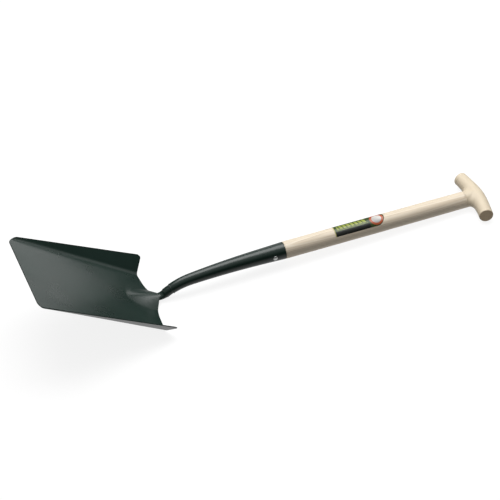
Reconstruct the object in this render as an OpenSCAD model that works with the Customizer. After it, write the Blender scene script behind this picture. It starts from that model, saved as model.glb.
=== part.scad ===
// Square-mouth garden spade (shovel pattern) with a T grip, all sizes in millimetres.
// It is drawn in the blade's own frame: X runs from the mouth to the handle, Y across the blade,
// Z up from the floor of the pan. lying() then lays the whole tool down as it rests on the ground,
// on the blade's heel and the grip, with the origin under the middle of its bounding box.

/* [Blade] */
// Length of the pan's floor, from the mouth to the rear edge
blade_len = 322; // [300:1:340]
// Width between the two bends at the mouth
mouth_w = 247; // [235:1:260]
// Width between the two bends at the rear
rear_w = 201; // [190:1:212]
// Thickness of the pressed steel sheet
sheet_t = 2.2; // [1.8:0.1:2.8]
// Height of the side walls at the mouth
mouth_rise = 3.5; // [2:0.5:8]
// How far the side walls lean out at the mouth
mouth_spread = 3.5; // [2:0.5:8]
// Height of the side walls at the rear
rear_rise = 32.5; // [26:0.5:38]
// How far the side walls lean out at the rear
rear_spread = 31; // [24:0.5:38]
// How far the floor falls from its middle to its sides at the rear
floor_crown = 4; // [1:0.5:6]
// Inside radius of the bend between floor and wall
bend_r = 16; // [8:1:24]
// Radius of the two rounded corners of the mouth
mouth_corner_r = 24; // [12:1:30]
// Radius of the upper rear corners of the walls
rear_corner_r = 9; // [4:1:14]
// How far the walls run on behind the floor's rear edge
wall_overrun = 6; // [0:1:12]

/* [Frog and tongue] */
// Length of the frog, the raised ridge over the neck, ahead of the rear edge
frog_len = 62; // [50:1:90]
// Height of the frog's crest at the rear edge
frog_h = 15; // [12:0.5:18]
// Width of the frog at the rear edge
frog_w = 62; // [50:1:80]
// Height of the wide skirt round the frog
skirt_h = 4; // [2:0.5:6]
// Width of the skirt and of the tongue's root
skirt_w = 116; // [90:1:140]
// How far the tongue stands out behind the rear edge
tongue_out = 9; // [4:1:14]

/* [Neck and socket] */
// Length of the socket's straight mouth, where it is coaxial with the shaft
socket_straight = 60; // [50:1:80]
// Length of the socket's slow bend below the straight mouth
slow_bend_len = 157; // [150:1:165]
// Outside diameter of the socket at its mouth
socket_mouth_d = 38.6; // [37.5:0.1:39.2]
// Outside diameter of the socket where its straight mouth ends
socket_mid_d = 34.8; // [33.5:0.1:36]
// Outside diameter of the socket where the sharp bend starts
socket_low_d = 26; // [25:0.1:28]
// Outside diameter of the socket at its lower end
socket_end_d = 23.6; // [22.5:0.1:24.5]
// Wall of the socket tube
socket_wall = 1.8; // [1.5:0.1:2.2]
// Angle of the shaft above the blade's floor
shaft_angle = 33; // [30:0.5:36]
// Angle where the slow bend runs into the sharp one
mid_angle = 38; // [37:0.5:40]
// Steepest angle of the neck
neck_angle = 64; // [58:0.5:66]
// Angle of the tang under the frog
tang_angle = 13; // [11:0.5:15]
// Bend radius of the socket's sharp bend
sharp_bend_r = 142; // [130:1:155]
// Bend radius of the neck as it leaves the frog
neck_bend_r = 31; // [28:1:34]
// Diameter of the solid neck
neck_d = 21.6; // [20:0.1:22]
// Length of the flattened tang under the frog
tang_len = 44; // [36:1:48]
// Distance from the rear edge forward to where the tang's bend starts
tang_setback = -1; // [-4:1:2]

/* [Rivet] */
// Diameter of the rivet's shank
rivet_d = 6; // [5:0.5:7]
// Diameter of the rivet's domed heads
rivet_head_d = 10.5; // [9:0.5:12]
// Height of the rivet's domed heads
rivet_head_h = 2.4; // [1.8:0.1:3]
// Distance of the rivet from the socket's mouth
rivet_back = 26; // [18:1:40]

/* [Shaft] */
// Diameter of the ash shaft above the socket
shaft_d = 38.8; // [38.7:0.1:39.6]
// Diameter of the true cylinder that a clip holds
clip_d = 38.4; // [38:0.1:38.6]
// Diameter of the shaft where it meets the grip
shaft_top_d = 37.4; // [36.5:0.1:38]
// Distance from the socket to the clip's cylinder
clip_start = 250; // [245:1:270]
// Length of the clip's cylinder
clip_len = 80; // [60:1:90]
// Length of the shaft between the socket and the grip
shaft_len = 432; // [415:1:455]
// Length of the shaft's tail inside the socket
tail_len = 128; // [110:1:135]
// Diameter of the tail's lower end
tail_end_d = 22; // [18:0.5:24]

/* [Grip] */
// Length of the T grip, end to end
grip_len = 146; // [120:1:160]
// Diameter of the grip at its ends
grip_end_d = 32; // [30:0.5:34]
// Extra diameter of the grip's middle over its ends
grip_swell = 5.5; // [3:0.5:7]
// How far the ends of the grip droop towards the blade
grip_sag = 7; // [2:0.5:10]
// Distance from the shaft's shoulder to the middle of the grip
grip_seat = 28; // [24:0.5:30]
// Radius of the fillet between the grip's bar and its collar
grip_fillet = 9; // [6:0.5:10]
// Diameter of the shaft's tenon inside the grip
tenon_d = 24; // [20:0.5:26]
// Length of the tenon
tenon_len = 42; // [36:0.5:43]
// Diameter of the dowel across the tenon
dowel_d = 8; // [6:0.5:10]
// Wood left over the dowel's blind end, on the grip's upper face
dowel_cover = 5; // [4:0.5:7]

/* [Label] */
// Length of the label along the shaft
label_len = 119; // [90:1:122]
// Distance of the label from the socket's mouth
label_start = 118; // [112:1:122]
// Angle that the label covers round the shaft
label_arc = 120; // [80:1:140]
// Thickness of the label
label_t = 0.25; // [0.2:0.05:0.4]

/* [Hidden] */

steel_green = [0.10, 0.16, 0.14];
ash = [0.86, 0.77, 0.62];
fine = 96;

// Clearance between parts that fit into one another
gap = 0.15;
// Steps across and along the pan
floor_cols = 16;
bend_cols = 4;
wall_cols = 3;
half_cols = floor_cols + bend_cols + wall_cols;
blade_rows = 30;
// Below 1, this power crowds the rows towards the rear, where the frog is
row_crowding = 0.75;

// ---- Pan: a section across the blade at distance x from the mouth ----
function mix(a, b, t) = a + (b - a) * t;
function bump(t) = abs(t) >= 1 ? 0 : 0.5 + 0.5 * cos(180 * t);
function half_floor(x) = mix(mouth_w, rear_w, x / blade_len) / 2;
function rise(x) = mix(mouth_rise, rear_rise, x / blade_len);
function spread(x) = mix(mouth_spread, rear_spread, x / blade_len);
function lean(x) = atan2(rise(x), spread(x));
function fall(x) = floor_crown * x / blade_len;
function wall_len(x) = norm([rise(x), spread(x)]);
// Length that the bend takes from the floor and from the wall
function bend_cut(x) = min(bend_r * tan(lean(x) / 2), 0.7 * wall_len(x));
function bend_radius(x) = bend_cut(x) / tan(lean(x) / 2);

// Frog and skirt raise the floor; both grow from nothing ahead of the rear edge and have a
// blunt, round nose in plan. Their flanks are straight, with a rounded crest and foot.
crest_r = 5;
foot_soft = 0.12;
function soft(t) =
    t <= -foot_soft ? 0
    : t < foot_soft ? (t + foot_soft) * (t + foot_soft) / (4 * foot_soft)
    : t;
function tent(y, half_w) = soft(1 - (norm([y, crest_r]) - crest_r) / half_w);
function frog_part(x) = max(0, (x - blade_len + frog_len) / (frog_len + tongue_out));
function nose(x) =
    let (t = min(1, (x - blade_len + frog_len) / frog_len))
    sqrt(1 - (1 - t) * (1 - t));
function frog_z(x, y) = frog_part(x) <= 0 ? 0
    : frog_part(x) * (frog_h * tent(y, frog_w / 2 * nose(x))
        + skirt_h * tent(y, skirt_w / 2 * nose(x)));

// Column j counts from the middle (0) to the wall's top edge (half_cols).
// Each returns [y, z, slope angle] of the pan's upper surface.
function floor_point(x, t) =
    let (half = half_floor(x) - bend_cut(x))
    [t * half, -fall(x) * t * t, -atan2(2 * fall(x) * t, half)];
function bend_point(x, t) =
    let (a = lean(x) * t)
    [half_floor(x) - bend_cut(x) + bend_radius(x) * sin(a),
     bend_radius(x) * (1 - cos(a)) - fall(x), a];
function wall_point(x, t) =
    let (along = mix(bend_cut(x), wall_len(x), t))
    [half_floor(x) + along * cos(lean(x)), along * sin(lean(x)) - fall(x), lean(x)];
function section_point(x, j) =
    j <= floor_cols ? floor_point(x, j / floor_cols)
    : j <= floor_cols + bend_cols ? bend_point(x, (j - floor_cols) / bend_cols)
    : wall_point(x, (j - floor_cols - bend_cols) / wall_cols);

// Distance from column j to the wall's top edge, measured along the sheet
function wall_left(x, t) = (wall_len(x) - bend_cut(x)) * (1 - t);
function bend_left(x, t) = wall_left(x, 0) + bend_radius(x) * lean(x) * PI / 180 * (1 - t);
function sheet_left(x, j) =
    j <= floor_cols ? bend_left(x, 0) + half_floor(x) - bend_cut(x) - section_point(x, j)[0]
    : j <= floor_cols + bend_cols ? bend_left(x, (j - floor_cols) / bend_cols)
    : wall_left(x, (j - floor_cols - bend_cols) / wall_cols);
function corner(d, r) = d >= r ? 0 : r - sqrt(r * r - (r - d) * (r - d));
function front_x(j) = corner(sheet_left(0, j), mouth_corner_r);
function rear_x(j) =
    let (p = section_point(blade_len, j))
    blade_len + tongue_out * bump(2 * p[0] / skirt_w)
    + wall_overrun * max(0, p[0] - rear_w / 2) / rear_spread
    - corner(sheet_left(blade_len, j), rear_corner_r);

// Point of the sheet: side is -1 or 1 across, depth is 0 on top and sheet_t underneath
function sheet_point(j, i, side, depth) =
    let (x = mix(front_x(j), rear_x(j), pow(i / blade_rows, row_crowding)),
         p = section_point(x, j))
    [x, side * (p[0] + depth * sin(p[2])), p[1] + frog_z(x, p[0]) - depth * cos(p[2])];

// ---- Centre line of shaft, socket and neck in the plane y = 0 ----
// Each stop is [x, z]; the line is followed from the socket's mouth down to the tang.
function turn_down(p, a, b, r) = [p[0] - r * (sin(b) - sin(a)), p[1] - r * (cos(a) - cos(b))];
function turn_up(p, a, b, r) = [p[0] - r * (sin(a) - sin(b)), p[1] - r * (cos(b) - cos(a))];
function along(p, a, d) = [p[0] + d * cos(a), p[1] + d * sin(a)];
slow_bend_r = slow_bend_len / ((mid_angle - shaft_angle) * PI / 180);
sharp_bend_len = sharp_bend_r * (neck_angle - mid_angle) * PI / 180;
neck_bend_len = neck_bend_r * (neck_angle - tang_angle) * PI / 180;
// Height of the tang's centre where its bend starts, under the frog's crest
tang_z = 8.5;
tang_root = [blade_len - tang_setback, tang_z];
neck_low = turn_up([0, 0], neck_angle, tang_angle, neck_bend_r);
neck_top = tang_root - neck_low;
sharp_top = neck_top - turn_down([0, 0], mid_angle, neck_angle, sharp_bend_r);
slow_top = sharp_top - turn_down([0, 0], shaft_angle, mid_angle, slow_bend_r);
mouth = along(slow_top, shaft_angle, socket_straight);

// Distances along the centre line from the socket's mouth
at_slow = socket_straight;
at_sharp = at_slow + slow_bend_len;
at_neck = at_sharp + sharp_bend_len;
at_tang = at_neck + neck_bend_len;
at_tip = at_tang + tang_len;
// The socket tube stops this far above the neck's bend
neck_bare = 18;
at_tube_end = at_neck - neck_bare;
// The neck is let into the tube by this much, and is this much thinner there
neck_overlap = 25;
neck_shrink = 0.25;

function angle_at(s) =
    s <= at_slow ? shaft_angle
    : s <= at_sharp ? mix(shaft_angle, mid_angle, (s - at_slow) / slow_bend_len)
    : s <= at_neck ? mix(mid_angle, neck_angle, (s - at_sharp) / sharp_bend_len)
    : s <= at_tang ? mix(neck_angle, tang_angle, (s - at_neck) / neck_bend_len)
    : tang_angle;
function place_at(s) =
    s <= at_slow ? along(mouth, shaft_angle, -s)
    : s <= at_sharp ? turn_down(slow_top, shaft_angle, angle_at(s), slow_bend_r)
    : s <= at_neck ? turn_down(sharp_top, mid_angle, angle_at(s), sharp_bend_r)
    : s <= at_tang ? turn_up(neck_top, neck_angle, angle_at(s), neck_bend_r)
    : along(tang_root, tang_angle, at_tang - s);
function tube_r(s) = lookup(s, [
    [0, socket_mouth_d / 2],
    [at_slow, socket_mid_d / 2],
    [at_sharp, socket_low_d / 2],
    [at_tube_end, socket_end_d / 2]]);

// The neck: round in the tube, flattened to a wedge under the frog
tang_tip_w = 12;
tang_tip_h = 3;
tang_h = 9;
function neck_half_w(s) = s <= at_tang ? neck_d / 2 - (s < at_tube_end ? neck_shrink : 0)
    : mix(neck_d, tang_tip_w, (s - at_tang) / tang_len) / 2;
function neck_half_h(s) =
    s <= at_neck ? neck_half_w(s)
    : s <= at_tang ? mix(neck_d, tang_h, sqrt((s - at_neck) / neck_bend_len)) / 2
    : mix(tang_h, tang_tip_h, (s - at_tang) / tang_len) / 2;

// Ring of points across the centre line at s
function ring(s, half_w, half_h, n) =
    let (c = place_at(s), a = angle_at(s))
    [for (k = [0 : n - 1])
        let (u = half_w * cos(360 * k / n), v = -half_h * sin(360 * k / n))
        [c[0] - v * sin(a), u, c[1] + v * cos(a)]];

// ---- Lying pose: turn about Y until the tool rests on its heel and its grip ----
// Points that may touch the ground: the rear edge's underside and the neck's belly
rear_edge = [for (j = [0 : floor_cols + bend_cols])
    let (p = sheet_point(j, blade_rows, 1, sheet_t))
    [p[0], p[2]]];
neck_belly = [for (t = [0 : 0.05 : 1])
    let (s = mix(at_neck, at_tang, t), a = angle_at(s))
    place_at(s) - neck_half_h(s) * [-sin(a), cos(a)]];
heel = concat(rear_edge, neck_belly);
grip_r = (grip_end_d + grip_swell) / 2;
grip_mid = along(mouth, shaft_angle, shaft_len + grip_seat);
// Angle that puts point p and the grip's underside on one level
function level_angle(p) =
    let (d = grip_mid - p)
    atan2(d[1], d[0]) - asin(grip_r / norm(d));
tilt = max([for (p = heel) level_angle(p)]);
function level_x(p) = p[0] * cos(tilt) + p[1] * sin(tilt);
function level_z(p) = p[1] * cos(tilt) - p[0] * sin(tilt);
floor_z = min([for (p = heel) level_z(p)]);
front_end = level_x([0, -sheet_t]);
back_end = level_x(grip_mid) + grip_r;
middle_x = (front_end + back_end) / 2;

module lying() {
    translate([-middle_x, 0, -floor_z])
        rotate([0, tilt, 0])
            children();
}

// Puts children, drawn along +Z, on the centre line at s, pointing towards the grip
module on_line(s) {
    translate([place_at(s)[0], 0, place_at(s)[1]])
        rotate([0, 90 - angle_at(s), 0])
            children();
}

// ---- Solids made from rings of points ----
function ring_faces(n, a, b) = [for (k = [0 : n - 1])
    let (m = (k + 1) % n)
    each [[a + k, b + k, b + m], [a + k, b + m, a + m]]];
function flat(lists) = [for (l = lists) each l];

// Closed bar through a list of equal rings
module bar(rings) {
    n = len(rings[0]);
    last = len(rings) - 1;
    polyhedron(
        points = flat(rings),
        faces = concat(
            [[for (k = [0 : n - 1]) k]],
            flat([for (i = [0 : last - 1]) ring_faces(n, i * n, (i + 1) * n)]),
            [[for (k = [n - 1 : -1 : 0]) last * n + k]]),
        convexity = 6);
}

// Pressed sheet: floor, bends, walls, frog and tongue in one piece of steel
module blade() {
    cols = [for (j = [-half_cols : half_cols]) j];
    n = len(cols);
    top = [for (i = [0 : blade_rows], j = cols) sheet_point(abs(j), i, sign(j), 0)];
    under = [for (i = [0 : blade_rows], j = cols) sheet_point(abs(j), i, sign(j), sheet_t)];
    low = len(top);
    color(steel_green)
        lying()
            polyhedron(
                points = concat(top, under),
                faces = concat(
                    [for (i = [0 : blade_rows - 1], k = [0 : n - 2])
                        let (a = i * n + k)
                        each [[a, a + n + 1, a + 1], [a, a + n, a + n + 1],
                              [low + a, low + a + 1, low + a + n + 1],
                              [low + a, low + a + n + 1, low + a + n]]],
                    [for (k = [0 : n - 2])
                        let (b = blade_rows * n + k)
                        each [[k, k + 1, low + k + 1], [k, low + k + 1, low + k],
                              [b, low + b, low + b + 1], [b, low + b + 1, b + 1]]],
                    [for (i = [0 : blade_rows - 1])
                        let (a = i * n, b = i * n + n - 1)
                        each [[a, low + a, low + a + n], [a, low + a + n, a + n],
                              [b, b + n, low + b + n], [b, low + b + n, low + b]]]),
                convexity = 6);
}

// Solid forged neck: let into the tube, bent, and flattened to a tang under the frog
module neck() {
    straight_steps = 3;
    bend_steps = 8;
    sides = 20;
    step = 0.01;
    stops = concat(
        [at_tube_end - neck_overlap, at_tube_end - step],
        [for (i = [0 : straight_steps]) mix(at_tube_end, at_neck, i / straight_steps)],
        [for (i = [1 : bend_steps]) mix(at_neck, at_tang, i / bend_steps)],
        [mix(at_tang, at_tip, 0.5), at_tip]);
    color(steel_green)
        lying()
            bar([for (s = stops) ring(s, neck_half_w(s), neck_half_h(s), sides)]);
}

// One weld bead down each side of the tang, under the frog
weld_r = 3;
module blade_weld() {
    bead_start = 0.12;
    bead_end = 0.92;
    // The bead's centre lies this far under the sheet
    bead_drop = 1.2;
    ball_sides = 16;
    spots = [for (t = [bead_start, (bead_start + bead_end) / 2, bead_end]) mix(at_tip, at_tang, t)];
    color(steel_green)
        lying()
            for (side = [-1, 1], i = [0 : 1])
                hull()
                    for (s = [spots[i], spots[i + 1]])
                        let (x = place_at(s)[0], y = neck_half_w(s) + weld_r + gap)
                            translate([x, side * y, frog_z(x, y) - sheet_t - bead_drop])
                                sphere(r = weld_r, $fn = ball_sides);
}

// Tapered tube: a true cone at the mouth, then a bent, tapering tube down to the neck
module socket() {
    // The bent tube starts a little inside the straight mouth, just under its surface,
    // so that the two overlap and become one
    lap = 2;
    under = 0.3;
    chamfer = 0.7;
    slow_steps = 4;
    sharp_steps = 5;
    stops = concat(
        [at_slow - lap],
        [for (i = [0 : slow_steps]) mix(at_slow, at_sharp, i / slow_steps)],
        [for (i = [1 : sharp_steps]) mix(at_sharp, at_tube_end, i / sharp_steps)]);
    n = 32;
    outer = [for (s = stops) let (r = tube_r(s) - under) ring(s, r, r, n)];
    inner = [for (s = stops) let (r = tube_r(s) - under - socket_wall) ring(s, r, r, n)];
    last = len(stops) - 1;
    in0 = len(stops) * n;
    color(steel_green)
        lying()
            difference() {
                union() {
                    on_line(0)
                        rotate_extrude($fn = fine)
                            polygon([
                                [tube_r(0) - socket_wall, 0],
                                [tube_r(0) - chamfer, 0],
                                [tube_r(0), -chamfer],
                                [tube_r(at_slow), -at_slow],
                                [tube_r(at_slow) - socket_wall, -at_slow]]);
                    polyhedron(
                        points = concat(flat(outer), flat(inner)),
                        faces = concat(
                            flat([for (i = [0 : last - 1]) ring_faces(n, i * n, (i + 1) * n)]),
                            flat([for (i = [0 : last - 1])
                                let (faces = ring_faces(n, in0 + i * n, in0 + (i + 1) * n))
                                [for (f = faces) [f[2], f[1], f[0]]]]),
                            [for (f = ring_faces(n, 0, in0)) [f[2], f[1], f[0]]],
                            ring_faces(n, last * n, in0 + last * n)),
                        convexity = 8);
                }
                on_line(rivet_back)
                    rotate([90, 0, 0])
                        cylinder(d = rivet_d, h = 2 * socket_mouth_d, center = true, $fn = fine);
            }
}

// Fillet of weld where the tube ends on the neck
module socket_weld() {
    leg = 3;
    crown = 0.4;
    color(steel_green)
        lying()
            on_line(at_tube_end)
                rotate_extrude($fn = fine)
                    polygon([
                        [neck_d / 2 + gap, -gap],
                        [socket_end_d / 2 + crown, -gap],
                        [socket_end_d / 2, -leg / 2],
                        [neck_d / 2 + gap, -leg]]);
}

// Through rivet with a domed head on each side of the socket
module socket_rivet() {
    // The heads are set this deep into the round of the socket
    sunk = 0.3;
    seat = tube_r(rivet_back) - sunk;
    dome_r = (rivet_head_d * rivet_head_d / 4 + rivet_head_h * rivet_head_h) / (2 * rivet_head_h);
    color([0.55, 0.58, 0.57])
        lying()
            on_line(rivet_back)
                rotate([90, 0, 0])
                    union() {
                        cylinder(d = rivet_d - 2 * gap, h = 2 * seat + rivet_head_h, center = true,
                                 $fn = fine);
                        for (side = [0, 1])
                            mirror([0, 0, side])
                                translate([0, 0, seat])
                                    intersection() {
                                        translate([0, 0, rivet_head_h - dome_r])
                                            sphere(r = dome_r, $fn = fine);
                                        cylinder(d = rivet_head_d, h = 2 * rivet_head_h, $fn = fine);
                                    }
                    }
}

// Ash shaft: tapered tail in the socket, body, cylinder for a clip, taper, tenon
module shaft() {
    shoulder = 0.3;
    tail_ease = 0.5;
    tail_top_r = tube_r(0) - socket_wall - gap;
    tail_mid_r = tube_r(at_slow) - socket_wall - tail_ease;
    chamfer = 2;
    ease_r = 0.4;
    ease = 1.5;
    clip_ease = 10;
    color(ash)
        lying()
            difference() {
                on_line(0)
                    rotate_extrude($fn = fine)
                        polygon([
                            [0, -tail_len],
                            [tail_end_d / 2 - chamfer, -tail_len],
                            [tail_end_d / 2, -tail_len + chamfer],
                            [tail_mid_r, -at_slow],
                            [tail_top_r, 0],
                            [tail_top_r, shoulder],
                            [shaft_d / 2 - ease_r, shoulder],
                            [shaft_d / 2, shoulder + ease],
                            [shaft_d / 2, clip_start - clip_ease],
                            [clip_d / 2, clip_start],
                            [clip_d / 2, clip_start + clip_len],
                            [shaft_top_d / 2, shaft_len],
                            [tenon_d / 2, shaft_len],
                            [tenon_d / 2, shaft_len + tenon_len - ease],
                            [tenon_d / 2 - ease, shaft_len + tenon_len],
                            [0, shaft_len + tenon_len]]);
                on_line(rivet_back)
                    rotate([90, 0, 0])
                        cylinder(d = rivet_d, h = 2 * socket_mouth_d, center = true, $fn = fine);
                dowel(dowel_d, grip_r);
            }
}

// Blind dowel of diameter d, from the grip's underside, where it ends at depth reach
module dowel(d, reach) {
    on_line(-shaft_len - grip_seat)
        rotate([0, 90, 0])
            translate([0, 0, dowel_cover - grip_r])
                cylinder(d = d, h = grip_r - dowel_cover + reach, $fn = fine);
}

// T grip: an arched bar, thicker in the middle, with a filleted collar that meets the shaft
swell_reach = 0.95;
swell_power = 1.6;
function grip_half_d(t) =
    (grip_end_d + grip_swell * pow(bump(t * swell_reach), swell_power)) / 2;
grip_arch_r = (grip_len * grip_len / 4 + grip_sag * grip_sag) / (2 * grip_sag);
grip_arch_angle = asin(grip_len / 2 / grip_arch_r);
function grip_ring(t, shrink, n) =
    let (a = grip_arch_angle * t, r = grip_half_d(t) - shrink)
    [for (k = [0 : n - 1])
        let (out = grip_arch_r + r * cos(360 * k / n))
        [r * sin(360 * k / n), out * sin(a), out * cos(a) - grip_arch_r]];
module crutch() {
    edge = 1.6;
    n = 28;
    steps = 18;
    edge_t = edge / (grip_len / 2);
    collar_r = shaft_top_d / 2;
    // The fillet runs along the bar only, so its round body is cut this much narrower than the collar
    fillet_trim = 5;
    arc_steps = 6;
    color(ash)
        lying()
            difference() {
                on_line(-shaft_len - grip_seat)
                    difference() {
                        union() {
                            bar(concat(
                                [grip_ring(-1, edge, n)],
                                [for (i = [0 : steps])
                                    grip_ring(mix(edge_t - 1, 1 - edge_t, i / steps), 0, n)],
                                [grip_ring(1, edge, n)]));
                            translate([0, 0, -grip_seat])
                                cylinder(r = collar_r, h = grip_seat, $fn = fine);
                            intersection() {
                                rotate_extrude($fn = fine)
                                    polygon(concat(
                                        [[0, -grip_seat + gap]],
                                        [for (i = [0 : arc_steps])
                                            let (a = 90 * i / arc_steps)
                                            [collar_r + grip_fillet * (1 - cos(a)),
                                             -grip_seat + gap + grip_fillet * sin(a)]],
                                        [[collar_r + grip_fillet, 0], [0, 0]]));
                                cube([2 * (collar_r - fillet_trim), grip_len, 2 * grip_seat],
                                     center = true);
                            }
                        }
                        translate([0, 0, -grip_seat - 1])
                            cylinder(d = tenon_d + 2 * gap, h = tenon_len + 1 + gap, $fn = fine);
                    }
                dowel(dowel_d, grip_r);
            }
}

// Hardwood dowel that pins the tenon in the grip, its end just under the surface
module crutch_dowel() {
    color([0.80, 0.68, 0.50])
        lying()
            dowel(dowel_d - 2 * gap, grip_r - 2 * gap);
}

// Printed label round the upper side of the shaft, with a round end towards the grip
module label() {
    // The outline that cuts the round end is this much wider than the label on each side
    margin = 1;
    half_w = (shaft_d / 2 + label_t) * sin(label_arc / 2) + margin;
    color([0.35, 0.55, 0.20])
        lying()
            on_line(-label_start)
                intersection() {
                    rotate([0, 0, 180 - label_arc / 2])
                        rotate_extrude(angle = label_arc, $fn = fine)
                            translate([shaft_d / 2, 0])
                                square([label_t, label_len]);
                    rotate([0, -90, 0])
                        linear_extrude(shaft_d)
                            union() {
                                translate([0, -half_w])
                                    square([label_len - half_w, 2 * half_w]);
                                translate([label_len - half_w, 0])
                                    circle(r = half_w, $fn = fine);
                            }
                }
}

blade();
neck();
blade_weld();
socket();
socket_weld();
socket_rivet();
shaft();
crutch();
crutch_dowel();
label();
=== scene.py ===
"""Garden spade with a tray-shaped blade, a bent tube socket, an ash shaft and an ash T grip.

Sizes are in millimetres and follow the CAD model's own driving dimensions. The head is worked out
in the blade's frame, where X runs from the mouth to the handle, Y across and Z up from the floor of
the pan, and lying() turns it into the row frame, in metres.
"""

from math import asin, atan2, cos, hypot, pi, radians, sin, sqrt, tan

import bmesh
import bpy
from mathutils import Matrix, Vector, noise


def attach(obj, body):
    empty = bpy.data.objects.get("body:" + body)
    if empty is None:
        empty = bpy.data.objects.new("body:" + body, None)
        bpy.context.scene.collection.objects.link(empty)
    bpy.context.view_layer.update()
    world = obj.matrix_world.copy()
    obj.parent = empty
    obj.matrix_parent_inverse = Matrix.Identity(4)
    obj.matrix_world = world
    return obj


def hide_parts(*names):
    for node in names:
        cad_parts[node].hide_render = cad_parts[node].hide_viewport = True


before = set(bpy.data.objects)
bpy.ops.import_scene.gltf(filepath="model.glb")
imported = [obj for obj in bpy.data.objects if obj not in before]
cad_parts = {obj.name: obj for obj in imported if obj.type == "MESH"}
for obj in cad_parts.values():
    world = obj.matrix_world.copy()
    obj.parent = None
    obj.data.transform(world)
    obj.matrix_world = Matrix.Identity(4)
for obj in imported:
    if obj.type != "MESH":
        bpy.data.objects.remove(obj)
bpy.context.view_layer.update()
MM = 0.001

# ---- Driving dimensions, in millimetres and degrees ----
BLADE_LEN = 322.0
MOUTH_W, REAR_W = 247.0, 201.0
SHEET_T = 2.2
MOUTH_RISE, REAR_RISE = 3.5, 32.5
MOUTH_SPREAD, REAR_SPREAD = 3.5, 31.0
FLOOR_CROWN = 4.0
BEND_R = 16.0
MOUTH_CORNER_R, REAR_CORNER_R = 24.0, 9.0
WALL_OVERRUN = 6.0
FROG_LEN, FROG_H, FROG_W = 62.0, 15.0, 62.0
SKIRT_H, SKIRT_W = 4.0, 116.0
CREST_R, FOOT_SOFT = 5.0, 0.12
TONGUE_OUT, TONGUE_W = 9.0, 116.0

SOCKET_STRAIGHT, SLOW_BEND_LEN = 60.0, 157.0
SOCKET_MOUTH_D, SOCKET_MID_D, SOCKET_LOW_D, SOCKET_END_D = 38.6, 34.8, 26.0, 23.6
SOCKET_WALL = 1.8
SHAFT_ANGLE, MID_ANGLE, NECK_ANGLE, TANG_ANGLE = map(radians, (33, 38, 64, 13))
SHARP_BEND_R, NECK_BEND_R = 142.0, 31.0
NECK_D, NECK_BARE, NECK_OVERLAP, NECK_SHRINK = 21.6, 18.0, 25.0, 0.25
TANG_LEN, TANG_SETBACK, TANG_Z = 44.0, -1.0, 8.5
TANG_H, TANG_TIP_W, TANG_TIP_H = 9.0, 12.0, 3.0

RIVET_HEAD_D, RIVET_HEAD_H, RIVET_BACK, RIVET_SUNK = 10.5, 2.4, 26.0, 0.3
SHAFT_D, CLIP_D, SHAFT_TOP_D = 38.8, 38.4, 37.4
CLIP_START, CLIP_LEN, CLIP_EASE, SHAFT_LEN = 250.0, 80.0, 10.0, 432.0
TAIL_LEN, TAIL_END_D, TAIL_GAP, TAIL_EASE = 128.0, 22.0, 0.15, 0.5
TENON_D, TENON_LEN = 24.0, 42.0
# Light and dark wood of the shaft, the grip and the dowel
ASH_LIGHT, ASH_DARK = (0.76, 0.68, 0.55), (0.56, 0.43, 0.29)
GRIP_LIGHT, GRIP_DARK = (0.72, 0.64, 0.50), (0.52, 0.40, 0.26)
DOWEL_LIGHT, DOWEL_DARK = (0.62, 0.47, 0.29), (0.42, 0.28, 0.15)
GRIP_LEN, GRIP_END_D, GRIP_SWELL, GRIP_SAG, GRIP_SEAT = 146.0, 32.0, 5.5, 7.0, 28.0
GRIP_EDGE, FILLET_REACH = 2.0, 16.0
SWELL_REACH, SWELL_POWER = 0.95, 1.6
LABEL_LEN, LABEL_START, LABEL_ARC, LABEL_T = 119.0, 118.0, radians(120), 0.25
DISC_U, DISC_V = 0.845, 0.44


# ---- Pan: a section across the blade at distance x from the mouth ----
def mix(a, b, t):
    return a + (b - a) * t


def bump(t):
    return 0.0 if abs(t) >= 1 else 0.5 + 0.5 * cos(pi * t)


def half_floor(x):
    return mix(MOUTH_W, REAR_W, x / BLADE_LEN) / 2


def rise(x):
    return mix(MOUTH_RISE, REAR_RISE, x / BLADE_LEN)


def spread(x):
    return mix(MOUTH_SPREAD, REAR_SPREAD, x / BLADE_LEN)


def lean(x):
    return atan2(rise(x), spread(x))


def fall(x):
    """How far the floor falls from its middle to its sides."""
    return FLOOR_CROWN * x / BLADE_LEN


def wall_len(x):
    return hypot(rise(x), spread(x))


def bend_cut(x):
    return min(BEND_R * tan(lean(x) / 2), 0.7 * wall_len(x))


def bend_radius(x):
    return bend_cut(x) / tan(lean(x) / 2)


def tent(y, half_w):
    """A ridge with straight flanks: 1 on the crest, 0 beyond half_w, with a rounded crest and foot."""
    t = 1 - (hypot(y, CREST_R) - CREST_R) / half_w
    if t <= -FOOT_SOFT:
        return 0.0
    return (t + FOOT_SOFT) ** 2 / (4 * FOOT_SOFT) if t < FOOT_SOFT else t


def frog_z(x, y):
    """Height of the frog and of the wide skirt round it; both have a blunt, round nose in plan."""
    back = x - BLADE_LEN + FROG_LEN
    if back <= 0:
        return 0.0
    nose = sqrt(1 - (1 - min(1.0, back / FROG_LEN)) ** 2)
    part = back / (FROG_LEN + TONGUE_OUT)
    return part * (FROG_H * tent(y, FROG_W / 2 * nose) + SKIRT_H * tent(y, SKIRT_W / 2 * nose))


def section_point(x, zone, t):
    """[y, z, slope] of the pan's upper surface: zone 0 is the floor, 1 the bend and 2 the wall."""
    if zone == 0:
        half = half_floor(x) - bend_cut(x)
        return t * half, -fall(x) * t * t, -atan2(2 * fall(x) * t, half)
    if zone == 1:
        a = lean(x) * t
        y = half_floor(x) - bend_cut(x) + bend_radius(x) * sin(a)
        return y, bend_radius(x) * (1 - cos(a)) - fall(x), a
    along_wall = mix(bend_cut(x), wall_len(x), t)
    return half_floor(x) + along_wall * cos(lean(x)), along_wall * sin(lean(x)) - fall(x), lean(x)


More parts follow.
